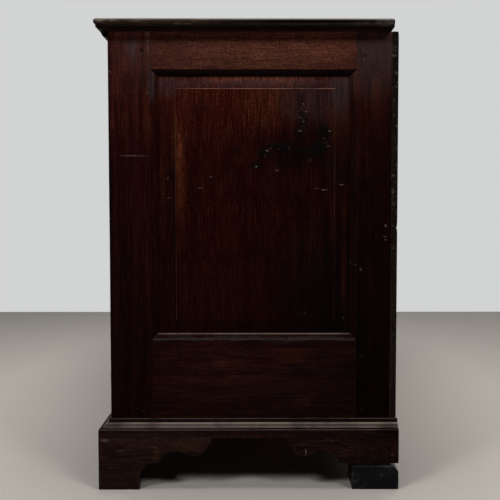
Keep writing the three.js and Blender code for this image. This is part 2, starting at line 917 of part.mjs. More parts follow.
function buildDrawers() {
  const x_low = half_divider + drawer_face_gap;
  const x_high = x_post - drawer_face_gap;
  const z_front = drawer_opening_bottom + drawer_face_gap;
  const z_front_top = drawer_opening_top - drawer_face_gap;
  const z_side = drawer_opening_bottom + drawer_running_gap;
  const z_side_top = z_side + drawer_side_height;
  const y_front_back = y_front + drawer_front_thickness;
  const y_end = y_back - drawer_back_room;
  const z_bottom = z_side + drawer_bottom_rise;
  const z_bottom_top = z_bottom + drawer_bottom_thickness;
  const room = joint_clearance;
  const inner_low = x_low + drawer_side_thickness;
  const inner_high = x_high - drawer_side_thickness;
  const bottom_slot = block(
    [inner_low - drawer_groove, y_front_back - drawer_groove, z_bottom - room],
    [inner_high + drawer_groove, y_end + overrun, z_bottom_top + room],
  );

  // Front with a bevelled edge, sockets for the sides' tails and a groove for the bottom
  const bevelled = (low, high) => [
    [low, y_front_back], [low, y_front + drawer_front_edge], [low + drawer_front_edge, y_front],
    [high - drawer_front_edge, y_front], [high, y_front + drawer_front_edge], [high, y_front_back],
  ];
  const by_length = run(bevelled(x_low, x_high), z_front, z_front_top, along_z);
  const upright = bevelled(z_front, z_front_top).map(([z, y]) => [y, z]);
  const by_height = run(upright, x_low, x_high, along_x);
  let front = by_length.intersect(by_height);
  const left_range = [x_low, inner_low];
  const right_range = [inner_high, x_high];
  front = front.subtract(
    dovetails(y_front_back, z_side, room, [left_range[0] - overrun, left_range[1] + room]),
  );
  front = front.subtract(
    dovetails(y_front_back, z_side, room, [right_range[0] - room, right_range[1] + overrun]),
  );
  front = front.subtract(bottom_slot);

  const side = (range) =>
    block([range[0], y_front_back, z_side], [range[1], y_end, z_side_top])
      .add(dovetails(y_front_back, z_side, 0, range))
      .subtract(bottom_slot);
  const back = block(
    [inner_low, y_end - drawer_side_thickness, z_bottom_top + room],
    [inner_high, y_end, z_side_top],
  );
  const tongue = drawer_groove - room;
  const bottom = block(
    [inner_low - tongue, y_front_back - tongue, z_bottom],
    [inner_high + tongue, y_end, z_bottom_top],
  );
  addPairNamed("drawer", "front", front, oak);
  addPairNamed("drawer", "side_inner", side(left_range), oak_plain);
  addPairNamed("drawer", "side_outer", side(right_range), oak_plain);
  addPairNamed("drawer", "back", back, oak_plain);
  addPairNamed("drawer", "bottom", bottom, oak_plain);

  const drawer_middle = (x_low + x_high) / 2;
  const reach = (x_high - x_low) * handle_spacing_share;
  const z_handle = (z_front + z_front_top) / 2;
  for (const [way, label] of [[-1, "inner"], [1, "outer"]]) {
    const x = drawer_middle + way * reach;
    addPairNamed("handle_plate", label, handlePlate(x, z_handle), brass);
    addPairNamed("handle_bail", label, bail(x, z_handle), brass);
  }
}

// The same piece of the right-hand and of the left-hand drawer
function addPairNamed(stem, piece, solid, material) {
  add(`${stem}_right_${piece}`, solid, material);
  const left = add(`${stem}_left_${piece}`, solid, material);
  left.scale.x = -1;
}

// Quarter outline of the handle's back plate, as shares of its half width and half height
const plate_shares = [
  [0, 1], [0.14, 0.82], [0.3, 0.62], [0.52, 0.86], [0.72, 0.8], [0.84, 0.42], [1, 0.2],
];

function handlePlate(x, z) {
  const half_width = handle_plate_width / 2;
  const half_height = handle_plate_height / 2;
  const corner = plate_shares.map(([a, b]) => [a * half_width, b * half_height]);
  const right_side = [...corner, ...corner.map(([a, b]) => [a, -b]).reverse()];
  const left_side = right_side.map(([a, b]) => [-a, b]).reverse().slice(1, -1);
  const outline = [...right_side, ...left_side].map(([a, b]) => [z + b, x + a]);
  const plate = run(outline, y_front - handle_plate_thickness, y_front, along_y);
  const pivot_z = z + handle_post_rise;
  const posts = [-1, 1].map((way) => {
    const post_x = x + (way * handle_post_spacing) / 2;
    const turned_post = new THREE.LatheGeometry(postProfile(), 14);
    const stem = solidOf(
      remapped(turned_post, (a, b, c) => [post_x + a, y_front - b, pivot_z + c]),
    );
    const bore_from = post_x - way * (handle_head_radius + overrun);
    const bore_to = post_x + way * root;
    const bore = [bore_from, bore_to].sort((a, b) => a - b);
    return stem.subtract(
      rod(bail_radius + bail_clearance, bore[0], bore[1], y_front - handle_post_reach, pivot_z, 10),
    );
  });
  return joined([plate, ...posts]);
}

// Turned post: a foot, a waist and a round head, as radius and distance from the drawer's face
function postProfile() {
  const radius = handle_head_radius;
  const foot = handle_plate_thickness + handle_foot_height;
  const profile = [
    [0, 0],
    [radius, 0],
    [radius, foot],
    [radius * handle_waist_share, foot + handle_foot_height],
  ];
  const steps = 7;
  const start = Math.asin(handle_waist_share);
  for (let i = 0; i <= steps; i++) {
    const angle = start + ((Math.PI - start) * i) / steps;
    profile.push([radius * Math.sin(angle), handle_post_reach - radius * Math.cos(angle)]);
  }
  profile[profile.length - 1][0] = 0;
  return profile.map(([r, out]) => new THREE.Vector2(r, out));
}

// Right half of the bail's centre line, as shares of half the post spacing and of the drop
const bail_shares = [
  [0.76, 0], [0.7, -0.1], [0.82, -0.36], [0.86, -0.68], [0.6, -0.94], [0.26, -0.97],
];

function bail(x, z) {
  const half = handle_post_spacing / 2;
  const pivot_y = y_front - handle_post_reach;
  const pivot_z = z + handle_post_rise;
  const ends = [[half, 0], [half - handle_head_radius * bail_end_share, 0]];
  const right_side = [...ends, ...bail_shares.map(([a, b]) => [a * half, b * bail_drop])];
  const left_side = right_side.map(([a, b]) => [-a, b]).reverse();
  const points = [...right_side, [0, -bail_drop], ...left_side];
  const places = points.map(([a, b]) => new THREE.Vector3(x + a, pivot_y, pivot_z + b));
  const path = new THREE.CatmullRomCurve3(places, false, "centripetal");
  const section = new THREE.Shape();
  section.absarc(0, 0, bail_radius, 0, 2 * Math.PI, false);
  const settings = { steps: 44, curveSegments: 4, extrudePath: path };
  return solidOf(new THREE.ExtrudeGeometry(section, settings));
}

buildPosts();
buildEndFrames();
buildFrontFrame();
buildBackAndFloor();
buildRunners();
buildBase();
buildFeet();
buildLidAndCornice();
buildHinges();
buildDrawers();

export default chest;
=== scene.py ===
import json
import math
import random

import bmesh
import bpy
from mathutils import Matrix, Vector, noise


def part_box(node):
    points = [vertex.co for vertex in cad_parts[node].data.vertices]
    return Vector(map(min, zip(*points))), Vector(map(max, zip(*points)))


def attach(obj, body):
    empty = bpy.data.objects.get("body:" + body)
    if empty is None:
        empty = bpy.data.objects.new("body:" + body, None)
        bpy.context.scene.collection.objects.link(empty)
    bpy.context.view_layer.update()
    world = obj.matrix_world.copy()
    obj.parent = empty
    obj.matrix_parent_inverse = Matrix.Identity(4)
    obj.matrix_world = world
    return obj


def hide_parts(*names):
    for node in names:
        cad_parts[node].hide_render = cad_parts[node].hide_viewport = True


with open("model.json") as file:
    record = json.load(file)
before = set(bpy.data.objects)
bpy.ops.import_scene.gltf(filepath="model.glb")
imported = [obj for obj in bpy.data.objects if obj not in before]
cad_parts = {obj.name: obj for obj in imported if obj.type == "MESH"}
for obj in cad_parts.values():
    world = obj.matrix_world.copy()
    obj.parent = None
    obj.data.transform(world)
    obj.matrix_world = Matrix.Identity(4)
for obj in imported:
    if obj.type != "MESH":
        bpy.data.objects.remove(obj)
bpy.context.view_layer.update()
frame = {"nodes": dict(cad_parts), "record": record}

# Shared values

MM = 0.001
SEED = 1705
# One stream of draws for the whole chest: a number for each piece in turn, then those of the pegs.
DRAWS = random.Random(SEED)
# Without a seed of its own, the waves of the surface would follow the clock.
noise.seed_set(SEED)


def tone(red, green, blue):
    """A colour given as it shows on a screen, 0 to 255, as the linear colour a material takes."""
    return tuple(
        ((c / 255 + 0.055) / 1.055) ** 2.4 if c > 10.31 else c / 255 / 12.92
        for c in (red, green, blue)
    ) + (1.0,)


# Nodes written as expressions


class Level:
    """A number that runs through nodes."""

    def __init__(self, wiring, socket):
        self.wiring = wiring
        self.socket = socket

    def __add__(self, other):
        return self.wiring.maths("ADD", self, other)

    __radd__ = __add__

    def __sub__(self, other):
        return self.wiring.maths("SUBTRACT", self, other)

    def __rsub__(self, other):
        return self.wiring.maths("SUBTRACT", other, self)

    def __mul__(self, other):
        return self.wiring.maths("MULTIPLY", self, other)

    __rmul__ = __mul__

    def __abs__(self):
        return self.wiring.maths("ABSOLUTE", self)


class Wiring:
    """The nodes of a finish or of the room."""

    def __init__(self, tree):
        self.tree = tree
        self.tree.nodes.clear()

    def node(self, kind, settings=None, sockets=None):
        """Any node: its type, its settings, which are set first, and its sockets with their
        values or links."""
        made = self.tree.nodes.new(kind)
        for key, value in (settings or {}).items():
            setattr(made, key, value)
        for key, value in (sockets or {}).items():
            self.feed(made.inputs[key], value)
        return made

    def feed(self, socket, value):
        if isinstance(value, Level):
            self.tree.links.new(value.socket, socket)
        elif isinstance(value, bpy.types.NodeSocket):
            self.tree.links.new(value, socket)
        else:
            socket.default_value = value

    def maths(self, operation, *values, clamp=False):
        settings = {"operation": operation, "use_clamp": clamp}
        made = self.node("ShaderNodeMath", settings, dict(enumerate(values)))
        return Level(self, made.outputs[0])


# The sockets of a Mix node that mixes colours
MIX_SHARE, MIX_FIRST, MIX_SECOND, MIX_RESULT = 0, 6, 7, 2


class Finish(Wiring):
    """One procedural material for a kind of surface on the chest."""

    def __init__(self, name):
        self.material = bpy.data.materials.new(name)
        self.material.use_nodes = True
        super().__init__(self.material.node_tree)
        self.place = self.node("ShaderNodeTexCoord").outputs["Object"]

    def vector_maths(self, operation, first, second):
        made = self.node("ShaderNodeVectorMath", {"operation": operation}, {0: first, 1: second})
        return made.outputs["Vector"]

    def scaled(self, vector, amount):
        sockets = {0: vector, "Scale": amount}
        return self.node("ShaderNodeVectorMath", {"operation": "SCALE"}, sockets).outputs["Vector"]

    def between(self, value, low, high, start=0.0, end=1.0):
        """Goes smoothly from start to end as value goes from low to high, and then stays."""
        made = self.node(
            "ShaderNodeMapRange",
            {"interpolation_type": "SMOOTHSTEP"},
            {"Value": value, "From Min": low, "From Max": high, "To Min": start, "To Max": end},
        )
        return Level(self, made.outputs["Result"])

    def mix(self, share, first, second):
        """Two colours laid over each other; share 0 shows the first, 1 the second."""
        sockets = {MIX_SHARE: share, MIX_FIRST: first, MIX_SECOND: second}
        return self.node("ShaderNodeMix", {"data_type": "RGBA"}, sockets).outputs[MIX_RESULT]

    def cloud(self, place, scale, detail=3.0, rough=0.55, twist=0.0):
        sockets = {
            "Vector": place,
            "Scale": scale,
            "Detail": detail,
            "Roughness": rough,
            "Distortion": twist,
        }
        return Level(self, self.node("ShaderNodeTexNoise", None, sockets).outputs["Fac"])

    def cells(self, place, scale):
        made = self.node("ShaderNodeTexVoronoi", None, {"Vector": place, "Scale": scale})
        return Level(self, made.outputs["Distance"])

    def mark(self, name):
        """A number kept on the faces of a piece."""
        settings = {"attribute_type": "GEOMETRY", "attribute_name": name}
        return Level(self, self.node("ShaderNodeAttribute", settings).outputs["Fac"])

    def parts(self, vector):
        made = self.node("ShaderNodeSeparateXYZ", None, {0: vector})
        return [Level(self, output) for output in made.outputs]

    def joined(self, x, y, z):
        return self.node("ShaderNodeCombineXYZ", None, {0: x, 1: y, 2: z}).outputs[0]

    def bump(self, height, strength, distance, normal=None):
        sockets = {"Height": height, "Strength": strength, "Distance": distance}
        if normal is not None:
            sockets["Normal"] = normal
        return self.node("ShaderNodeBump", None, sockets).outputs["Normal"]

    def surface(self, colour, roughness, normal=None, metallic=0.0, specular=0.5):
        sockets = {
            "Base Color": colour,
            "Roughness": roughness,
            "Metallic": metallic,
            "Specular IOR Level": specular,
        }
        if normal is not None:
            sockets["Normal"] = normal
        shader = self.node("ShaderNodeBsdfPrincipled", None, sockets)
        self.node("ShaderNodeOutputMaterial", None, {"Surface": shader.outputs["BSDF"]})
        return self.material


# Finishes: oak, brass and iron

STAINED = {
    "deep": tone(19, 3, 2),
    "body": tone(29, 7, 5),
    "light": tone(40, 15, 11),
    "warm": tone(60, 26, 13),
    "grime": tone(5, 2, 2),
    "dust": tone(88, 76, 70),
    "worn": tone(96, 80, 72),
    "reflection": tone(62, 58, 60),
}
PANEL = {
    "deep": tone(21, 2, 1),
    "body": tone(29, 6, 4),
    "light": tone(44, 18, 11),
    "warm": tone(66, 31, 15),
    "grime": tone(7, 2, 1),
    "dust": tone(80, 66, 60),
    "worn": tone(138, 98, 82),
    "reflection": tone(58, 54, 56),
}
RAIL = dict(
    STAINED,
    deep=tone(26, 9, 6),
    body=tone(31, 12, 8),
    light=tone(38, 18, 12),
    warm=tone(50, 29, 18),
)
LID = {
    "deep": tone(15, 6, 5),
    "body": tone(23, 12, 10),
    "light": tone(34, 21, 18),
    "warm": tone(40, 23, 15),
    "grime": tone(4, 3, 3),
    "dust": tone(92, 90, 82),
    "worn": tone(90, 87, 79),
    "reflection": tone(92, 90, 80),
}
PLINTH = {
    "deep": tone(29, 15, 12),
    "body": tone(38, 22, 18),
    "light": tone(52, 35, 30),
    "warm": tone(66, 38, 22),
    "grime": tone(12, 7, 6),
    "dust": tone(118, 107, 97),
    "worn": tone(120, 104, 95),
    "reflection": tone(70, 64, 62),
}
# The black of grime and painted shade, the burr's black, its painted glints, and pale scratches
GRIME_AND_SHADE_BLACK = tone(4, 3, 4)
BURR_BLACK = tone(6, 7, 7)
BURR_GLINT = tone(128, 120, 114)
SCRATCHED = tone(112, 102, 95)

GRAIN_DRAWN_OUT = 0.055
BOARD_SHIFT = (3.1, 5.7, 4.3)


def oak_place(finish, axis):
    """Where a point lies in its board: drawn out along the grain, and shifted, so that no two
    boards match."""
    board = finish.mark("board")
    shift = finish.joined(*(board * step for step in BOARD_SHIFT))
    stretch = [1.0, 1.0, 1.0]
    stretch[axis] = GRAIN_DRAWN_OUT
    drawn = finish.vector_maths("MULTIPLY", finish.place, tuple(stretch))
    return finish.vector_maths("ADD", drawn, shift), shift


# Within this share of its reach a mark has its full strength.
MARK_CORE = 0.25
# How a swaying mark moves along Z for each step along Y
SWAY_SLANT = -0.7


def near(finish, place, centre, reach):
    """1 at a mark on the chest, fading to 0 at its reach; both in millimetres."""
    middle = tuple(c * MM for c in centre)
    away = finish.vector_maths("SUBTRACT", place, middle)
    away = finish.vector_maths("DIVIDE", away, tuple(r * MM for r in reach))
    length = finish.node("ShaderNodeVectorMath", {"operation": "LENGTH"}, {0: away})
    return finish.between(length.outputs["Value"], MARK_CORE, 1.0, 1.0, 0.0)


def loosened(finish, level, reach):
    """The place moved to and fro along Y and Z by a cloud, so that a mark's outline is ragged."""
    sway = (level - 0.5) * (reach * MM)
    return finish.vector_maths("ADD", finish.place, finish.joined(0.0, sway, sway * SWAY_SLANT))


def marked(finish, place, marks):
    """The strongest of several marks at a point."""
    strongest = None
    for centre, reach, strength in marks:
        here = near(finish, place, centre, reach) * strength
        strongest = here if strongest is None else finish.maths("MAXIMUM", strongest, here)
    return strongest


# Marks on the right end, in millimetres: on the faces of the case, of the base and of the lid's tip
CASE_END = 622
BASE_FACE = 642
LID_TIP = 650


def on_face(x, deep, rows):
    """Marks that lie at x and reach deep along X. Each row is a mark's Y and Z, its reach along Y
    and Z, and its strength."""
    return [((x, y, z), (deep, along, up), strength) for y, z, along, up, strength in rows]


BURR = on_face(CASE_END, 60, [
    (12, 605, 12, 12, 0.9),
    (30, 630, 20, 12, 0.8),
    (62, 640, 40, 10, 0.8),
    (112, 628, 34, 15, 0.7),
    (98, 722, 10, 24, 0.5),
    (101, 692, 14, 24, 0.75),
    (97, 668, 12, 18, 0.8),
    (140, 668, 20, 30, 0.8),
    (132, 640, 30, 16, 0.9),
    (150, 600, 14, 34, 0.4),
])
# Painted glints on the rims of the burr's pits
GLINTS = on_face(CASE_END, 60, [
    (102, 719, 2.5, 3, 0.5),
    (107, 705, 3, 2, 0.6),
    (95, 694, 3, 2, 0.4),
    (102, 687, 2.5, 3, 0.4),
    (95, 670, 4, 2.5, 0.75),
    (150, 670, 4, 2.5, 0.8),
    (140, 655, 3.5, 2, 0.85),
    (143, 648, 2, 3, 0.5),
    (148, 641, 4, 2, 0.6),
    (34, 633, 4, 2, 0.95),
    (41, 637, 3, 1.6, 0.5),
    (57, 635, 2.5, 3.2, 0.65),
    (76, 637, 2.5, 3, 0.4),
    (14, 603, 2.5, 4, 0.9),
    (32, 623, 3, 4, 0.35),
    (54, 596, 5, 2, 0.5),
    (116, 615, 2, 4, 0.5),
])
NICKS = on_face(CASE_END, 60, [
    (142, 560, 10, 1.5, 0.6),
    (128, 562.5, 7, 1.3, 0.35),
    (174, 570, 6, 1.6, 0.9),
    (-151, 581, 2.2, 4, 0.7),
    (-178, 572, 3, 7, 0.4),
    (-150, 545, 4, 2, 0.4),
    (-91, 564, 8, 1.6, 0.35),
    (-70, 584, 5, 1.6, 0.3),
    (105, 330, 4, 2.5, 0.35),
    (178, 319, 2.5, 3, 0.7),
])
PALE_PATCHES = on_face(CASE_END, 60, [
    (-129, 640, 16, 90, 0.9),
    (-129, 565, 12, 60, 0.6),
    (60, 776, 90, 22, 1.0),
    (-20, 772, 90, 14, 0.9),
    (40, 720, 70, 60, 0.5),
    (182, 400, 8, 85, 1.0),
])
# Painted reflections on the panel: grey hazes near its top and at its top corners
PANEL_REFLECTIONS = on_face(CASE_END, 60, [
    (172, 748, 30, 80, 0.6),
    (-150, 758, 34, 36, 0.4),
    (10, 760, 240, 16, 0.5),
    (172, 764, 36, 26, 0.6),
    (110, 730, 80, 70, 0.3),
])
PANEL_LIT = on_face(CASE_END, 60, [
    (20, 762, 260, 20, 0.6),
    (-70, 700, 110, 120, 0.4),
    (-125, 600, 15, 170, 0.7),
    (179, 395, 9, 90, 1.2),
])
# Painted shade low on the right and along the field's edges, and the dark of the burr
PANEL_DARK = on_face(CASE_END, 60, [
    (150, 380, 150, 190, 0.7),
    (-155, 500, 22, 330, 0.25),
    (-139, 500, 5, 330, 0.6),
    (176, 640, 24, 140, 0.4),
    (20, 303, 240, 13, 0.28),
    (80, 630, 90, 46, 0.6),
    (130, 645, 60, 70, 0.5),
])
RAIL_SPOTS = on_face(CASE_END, 40, [
    (-49, 237, 24, 13, 0.9),
    (107, 167, 26, 15, 0.9),
])
RAIL_WARMTH = on_face(CASE_END, 40, [
    (40, 812, 160, 50, 0.5),
    (130, 812, 90, 50, 0.5),
])
RAIL_LIT = on_face(CASE_END, 60, [
    (60, 815, 380, 90, 0.55),
    (20, 850, 420, 17, 2.0),
])
POST_LIT = on_face(CASE_END, 60, [
    (-220, 850, 120, 17, 2.4),
    (240, 850, 90, 15, 1.2),
])
LOW_RAIL_LIT = on_face(CASE_END, 60, [(10, 200, 420, 160, 1.1)])
# A faint painted reflection over the bottom rail, and a painted highlight along its sticking
LOW_RAIL_REFLECTIONS = (
    on_face(CASE_END, 60, [(10, 200, 420, 160, 0.05)])
    + on_face(CASE_END - 2, 60, [(10, 281, 420, 6, 0.45)])
)
FRONT_POST_SCARS = on_face(CASE_END, 40, [
    (-214, 623, 36, 1.6, 0.4),
    (-186, 846, 5, 7, 1.0),
    (-186, 834, 3, 3, 0.9),
    (-186, 822, 1.6, 12, 0.4),
    (-255, 777, 2.5, 3, 0.5),
    (-187, 738, 3, 3, 0.5),
])
BACK_POST_SCARS = on_face(CASE_END, 40, [
    (256, 493, 3, 4, 0.5),
    (256, 473, 5, 2, 0.6),
    (256, 467, 3, 2, 0.6),
    (190, 424, 2.5, 4, 0.6),
    (199, 420, 5, 2, 0.5),
    (210, 411, 3, 4, 0.4),
    (198, 168, 2, 3, 0.3),
    (198, 137, 2, 3, 0.4),
])
# Painted reflections near the tops of the posts and on the sticking beside the front one
FRONT_POST_REFLECTIONS = (
    on_face(CASE_END, 60, [
        (-214, 824, 14, 40, 0.5),
        (-206, 851, 70, 7, 0.4),
    ])
    + on_face(CASE_END - 10, 60, [(-178, 762, 8, 60, 0.6)])
)
BACK_POST_REFLECTIONS = on_face(CASE_END, 60, [(230, 850, 90, 150, 0.4)])
# Painted shade on the post's rounded outer edge and low down
FRONT_POST_SHADE = on_face(CASE_END, 60, [
    (-257.5, 490, 5, 520, 0.8),
    (-225, 330, 70, 220, 0.3),
])
# Dirt in the joint with the back board, and painted shade along the inner edge and low down
BACK_POST_GRIME_AND_SHADE = on_face(CASE_END, 60, [
    (266, 490, 4, 520, 0.95),
    (196, 490, 9, 330, 0.6),
    (225, 320, 60, 220, 0.4),
])
FOOT_SCARS = on_face(BASE_FACE, 30, [
    (-268, 93, 12, 4, 0.35),
    (-240, 74, 12, 3, 0.15),
    (107, 70, 1.6, 8, 0.8),
    (150, 92, 26, 1.6, 0.15),
    (268, 66, 3, 3, 0.5),
    (271, 40, 3, 5, 0.5),
])
PLINTH_LIT = (
    on_face(BASE_FACE, 700, [(0, 90, 900, 200, 1.0)])
    + on_face(BASE_FACE, 60, [(200, 80, 220, 90, 1.2)])
)
# Darker patches in the moulding near its front and back corners
PLINTH_DARKENED = on_face(BASE_FACE - 2, 60, [
    (-262, 121, 50, 16, 0.55),
    (262, 112, 34, 16, 0.75),
])
FOOT_SPOTS = on_face(BASE_FACE, 30, [
    (-168, 72, 9, 18, 0.8),
    (190, 84, 42, 20, 0.6),
])
LID_LIT = on_face(LID_TIP, 60, [
    (-200, 863, 190, 12, 1.1),
    (40, 866, 300, 5, 0.8),
])
# The lid's end edge darker towards the back
LID_EDGE_DARKENED = on_face(LID_TIP, 40, [(130, 863.0, 270, 4.4, 1.0)])
# Painted highlights along the lid's nose and lower edge, and painted reflections at its corners
LID_REFLECTIONS = (
    on_face(LID_TIP + 1, 9, [(0, 869.5, 1200, 3.6, 0.9)])
    + on_face(LID_TIP, 40, [
        (130, 859, 240, 2.0, 0.4),
        (252, 860, 24, 8, 0.35),
    ])
    + on_face(LID_TIP, 60, [(-268, 866, 16, 8, 0.5)])
)
LID_SCARS = on_face(LID_TIP, 40, [
    (-111, 859, 13, 2, 0.9),
    (-128, 859, 10, 2, 0.6),
    (-150, 858, 8, 2, 0.3),
    (-205, 863, 16, 1.5, 0.5),
    (-243, 864, 12, 2, 0.5),
    (-268, 865, 10, 5, 0.5),
    (206, 861, 24, 5, 0.5),
    (248, 862, 30, 9, 0.7),
])

# The top of the feet in metres: the edges just there lie under the moulding, with little wear and
# painted highlight
FOOT_TOP = 0.0973
# How far a cloud moves the outline of a painted reflection, of the burr and of scars and painted
# glints, in millimetres, and how far the grain moves that of a warm patch
REFLECTION_SWAY = 20
BURR_SWAY = 22
SCAR_SWAY = 5
WARM_SWAY = 8
# How much painted sheen lies near the lid
PAINTED_SHEEN = 0.16


def stained_oak(name, axis, palette, marks=None):
    """Old oak under dark stain and wax, with its grain along one axis and its marks in place."""
    marks = marks or {}
    finish = Finish(name)
    drawn, shift = oak_place(finish, axis)
    loose = finish.vector_maths("ADD", finish.place, shift)
    _, deep, height = finish.parts(finish.place)
    bands = finish.cloud(drawn, 52.0, 3.0, 0.6, 0.3)
    fibres = finish.cloud(drawn, 330.0, 3.0, 0.65)
    pores = finish.cloud(drawn, 900.0, 2.0, 0.5)
    broad = finish.cloud(loose, 5.5, 3.0, 0.55)
    clouds = finish.cloud(loose, 19.0, 3.0, 0.6)
    fine = finish.cloud(loose, 160.0, 3.0, 0.6)
    upward = finish.mark("upward")

    # The grain, the warm patches where the stain has thinned, and dirt in the pores
    colour = finish.mix(finish.between(bands, 0.36, 0.66), palette["deep"], palette["body"])
    colour = finish.mix(finish.between(fibres, 0.46, 0.72) * 0.75, colour, palette["light"])
    warm_here = finish.between(broad, 0.50, 0.70) * finish.between(bands, 0.42, 0.68) * 0.5
    colour = finish.mix(warm_here, colour, palette["warm"])
    if "warm" in marks:
        wander = finish.cloud(drawn, 60.0).socket
        bent = finish.vector_maths("ADD", finish.place, finish.scaled(wander, WARM_SWAY * MM))
        shown = marked(finish, bent, marks["warm"]) * finish.between(fibres, 0.35, 0.62)
        colour = finish.mix(shown * 0.6, colour, palette["warm"])
    colour = finish.mix(finish.between(pores, 0.55, 0.68) * 0.5, colour, palette["grime"])
    colour = finish.mix(finish.between(clouds, 0.52, 0.78) * 0.5, colour, palette["grime"])

    # How light or dark it stands, by height and depth in metres: painted shade low down, at the
    # back and on faces turned up, darker end grain, and painted light near the lid and at this
    # piece's lit marks
    lower = finish.between(height, 0.02, 0.60, 0.42, 1.0)
    upper = finish.between(height, 0.60, 0.86, 1.0, 2.9)
    away = finish.between(deep, -0.10, 0.28, 1.0, 0.55)
    away = finish.maths("MAXIMUM", away, finish.between(height, 0.60, 0.84))
    shade = lower * upper * away * finish.between(finish.mark("board"), 0.0, 1.0, 0.85, 1.15)
    shade = shade * finish.between(finish.mark("end_grain"), 0.0, 1.0, 1.0, 0.55)
    if "lit" in marks:
        sideways = finish.between(upward, 0.80, 0.97, 1.0, 0.0)
        shade = shade * (1.0 + marked(finish, finish.place, marks["lit"]) * sideways)
    shade = shade * finish.between(upward, 0.80, 0.97, 1.0, 0.4)
    mottle = finish.cloud(loose, 300.0, 3.0, 0.7)
    shade = shade * finish.between(mottle, 0.35, 0.65, 0.6, 1.45)
    colour = finish.scaled(colour, shade)

    # Painted sheen near the lid, then this piece's marks: painted reflections, burr, painted
    # glints, scars
    painted_sheen = finish.between(height, 0.70, 0.87) * finish.between(broad, 0.35, 0.6)
    colour = finish.mix(painted_sheen * marks.get("painted_sheen", PAINTED_SHEEN), colour, palette["dust"])
    if "reflections" in marks:
        swayed = loosened(finish, clouds, marks.get("sway", REFLECTION_SWAY))
        reflected = marked(finish, swayed, marks["reflections"])
        reflected = reflected * finish.between(fibres, 0.32, 0.66, 0.35, 1.0)
        reflected = reflected * finish.between(fine, 0.3, 0.6, 0.6, 1.0)
        colour = finish.mix(reflected, colour, palette["reflection"])
    if "burr" in marks:
        knot = marked(finish, loosened(finish, fine, BURR_SWAY), marks["burr"])
        knot = knot * finish.between(finish.cloud(loose, 90.0, 3.0, 0.6), 0.34, 0.52, 0.45, 1.0)
        colour = finish.mix(knot, colour, BURR_BLACK)
        speckle = finish.cloud(loose, 380.0, 3.0, 0.7)
        glint = marked(finish, loosened(finish, fine, SCAR_SWAY), marks["glints"])
        glint = glint * finish.between(speckle, 0.44, 0.56)
        colour = finish.mix(glint, colour, BURR_GLINT)
    if "scars" in marks:
        scratch = marked(finish, loosened(finish, fine, SCAR_SWAY), marks["scars"])
        scratch = scratch * finish.between(fine, 0.36, 0.52, 0.2, 1.0)
        colour = finish.mix(scratch * 0.8, colour, SCRATCHED)

    # Dust and painted highlight on faces turned up, and rubbed edges with painted highlight on top
    dust_and_sheen_share = finish.mark("dust") * finish.between(clouds, 0.30, 0.62, 0.5, 1.0)
    colour = finish.mix(dust_and_sheen_share, colour, palette["dust"])
    rubbed_and_highlight = finish.mark("worn") * finish.between(clouds, 0.28, 0.56, 0.25, 1.0)
    rubbed_and_highlight = rubbed_and_highlight * finish.between(upward, -0.45, 0.60, 0.04, 1.0)
    rubbed_and_highlight = rubbed_and_highlight * finish.between(abs(height - FOOT_TOP), 0.002, 0.005, 0.12, 1.0)
    colour = finish.mix(rubbed_and_highlight * 0.75, colour, palette["worn"])
    # Grime and painted shade: in hollows and under ledges from the bands, and at this piece's grime
    # marks
    grime_and_shade = finish.mark("grime")
    if "grime" in marks:
        grime_and_shade = finish.maths("MAXIMUM", grime_and_shade, marked(finish, finish.place, marks["grime"]))
    colour = finish.mix(grime_and_shade * 0.92, colour, GRIME_AND_SHADE_BLACK)

    roughness = finish.between(fibres, 0.3, 0.7, 0.36, 0.52)
    roughness = roughness + finish.between(clouds, 0.4, 0.7, 0.0, 0.12)
    relief = fibres * 0.5 - pores * 0.5 + bands * 0.35
    normal = finish.bump(relief, 0.35, 0.4 * MM)
    if "burr" in marks:
        normal = finish.bump(speckle * knot, 0.9, 4 * MM, normal)
    return finish.surface(colour, roughness, normal, specular=0.012)


def dry_oak(name, axis):
    """Oak left without a finish, inside the chest and at its back: grey-brown, dusty, with open
    grain. Its ends are near black, with pale patches."""
    finish = Finish(name)
    drawn, shift = oak_place(finish, axis)
    loose = finish.vector_maths("ADD", finish.place, shift)
    bands = finish.cloud(drawn, 40.0, 2.0, 0.5, 0.5)
    fibres = finish.cloud(drawn, 220.0, 3.0, 0.6)
    pores = finish.cloud(drawn, 900.0, 2.0, 0.5)
    stains = finish.cloud(loose, 7.0, 4.0, 0.6)
    _, _, height = finish.parts(finish.place)
    colour = finish.mix(finish.between(bands, 0.35, 0.65), tone(104, 76, 50), tone(136, 104, 72))
    colour = finish.mix(finish.between(fibres, 0.45, 0.7) * 0.6, colour, tone(84, 60, 40))
    colour = finish.mix(finish.between(pores, 0.55, 0.68) * 0.6, colour, tone(44, 31, 22))
    colour = finish.mix(finish.between(stains, 0.48, 0.72) * 0.65, colour, tone(66, 50, 38))
    colour = finish.mix(finish.mark("worn") * 0.35, colour, tone(150, 122, 92))
    smoke = finish.cloud(finish.place, 95.0, 5.0, 0.75)
    pale = finish.between(smoke, 0.54, 0.68) * finish.between(height, 0.3, 0.8, 0.25, 1.0)
    ends = finish.mix(pale, tone(7, 6, 6), tone(84, 79, 72))
    colour = finish.mix(finish.mark("end_grain") * 0.97, colour, ends)
    colour = finish.mix(finish.mark("grime") * 0.95, colour, tone(5, 4, 4))
    roughness = finish.between(fibres, 0.3, 0.7, 0.72, 0.9)
    normal = finish.bump(fibres * 0.5 + pores * -0.6, 0.5, 0.5 * MM)
    return finish.surface(colour, roughness, normal, specular=0.03)


